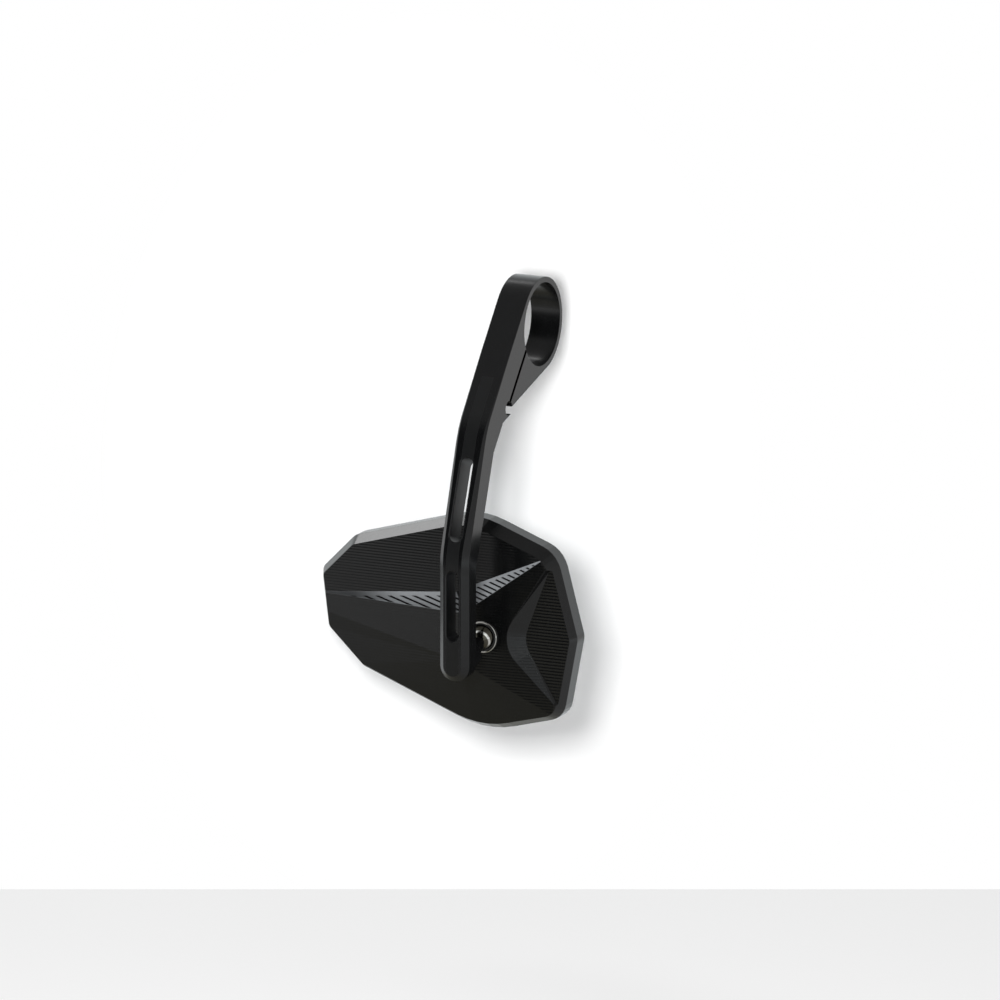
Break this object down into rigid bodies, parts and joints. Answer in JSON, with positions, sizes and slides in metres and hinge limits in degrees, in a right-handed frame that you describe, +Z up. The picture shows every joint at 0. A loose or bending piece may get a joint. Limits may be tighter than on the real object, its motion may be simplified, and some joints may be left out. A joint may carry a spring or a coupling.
{
  "type": "motorcycle bar end mirror",
  "caption": "Bar end mirror with a split clamp ring on a slotted milled arm, a ball joint, and a faceted metal head that holds the glass.",
  "frame": {"origin": "middle of the clamp ring on the axis of its bore", "axes": "+X along the handlebar towards its outer end, +Y in the direction of travel, +Z up; the glass faces -Y"},
  "size_m": [0.1195, 0.0964, 0.1891],
  "materials": {
    "black_anodised_arm": "black anodised, fine milled",
    "black_anodised_head": "black anodised, with milling lines",
    "screw_steel": "blackened steel",
    "ball_chrome": "polished chrome",
    "seat_chrome": "polished steel",
    "seat_brass": "turned brass",
    "sleeve_plastic": "moulded black plastic",
    "seal_rubber": "black rubber",
    "spring_steel": "spring steel",
    "plate_steel": "zinc plated steel",
    "pad_foam": "black bonding foam",
    "mirror_glass": "first quality mirror glass"
  },
  "bodies": {
    "arm": {"clamp_arm": "black_anodised_arm", "clamp_screw": "screw_steel", "ball_stud": "ball_chrome"},
    "sleeve": {"ball_sleeve": "sleeve_plastic", "ball_seal": "seal_rubber"},
    "seats": {"front_seat": "seat_chrome", "rear_seat": "seat_brass"},
    "head": {"mirror_housing": "black_anodised_head", "glass_pad": "pad_foam", "mirror_glass": "mirror_glass", "retainer_plate": "plate_steel", "plate_screws": "plate_steel", "thrust_washer": "spring_steel", "front_spring": "spring_steel", "rear_spring": "spring_steel"}
  },
  "joints": [
    {"name": "head_tilt", "type": "hinge", "parent": "arm", "child": "sleeve", "pos_m": [0, 0.04405, -0.12747], "axis": [1, 0, 0], "range_deg": [-10, 10]},
    {"name": "head_yaw", "type": "hinge", "parent": "sleeve", "child": "seats", "pos_m": [0, 0.04405, -0.12747], "axis": [0, 0, 1], "range_deg": [-12, 12]},
    {"name": "head_turn", "type": "hinge", "parent": "seats", "child": "head", "pos_m": [0, 0.04405, -0.12747], "axis": [0, 1, 0], "range_deg": [-20, 20]}
  ]
}
